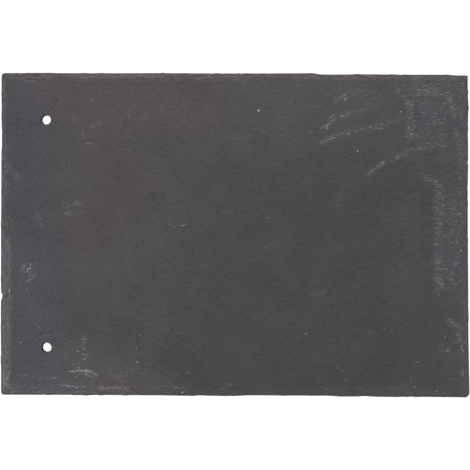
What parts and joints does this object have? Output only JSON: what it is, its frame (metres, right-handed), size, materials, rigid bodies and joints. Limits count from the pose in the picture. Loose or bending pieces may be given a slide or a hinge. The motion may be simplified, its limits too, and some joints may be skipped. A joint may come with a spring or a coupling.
{
  "type": "slate roof tile",
  "caption": "Thin rectangular natural slate roof tile with a riven face, knife-dressed bevelled edges and nail holes at its head.",
  "frame": {"origin": "centre of the slate's flat back, at its bottom", "axes": "+X from the head with the nail holes to the tail, +Y to the upper long side as the picture shows it, +Z out of the bevelled weather face"},
  "size_m": [0.3216, 0.2215, 0.0043],
  "materials": {
    "riven_slate": "matte"
  },
  "bodies": {
    "root": {"slate": "riven_slate"}
  },
  "joints": []
}
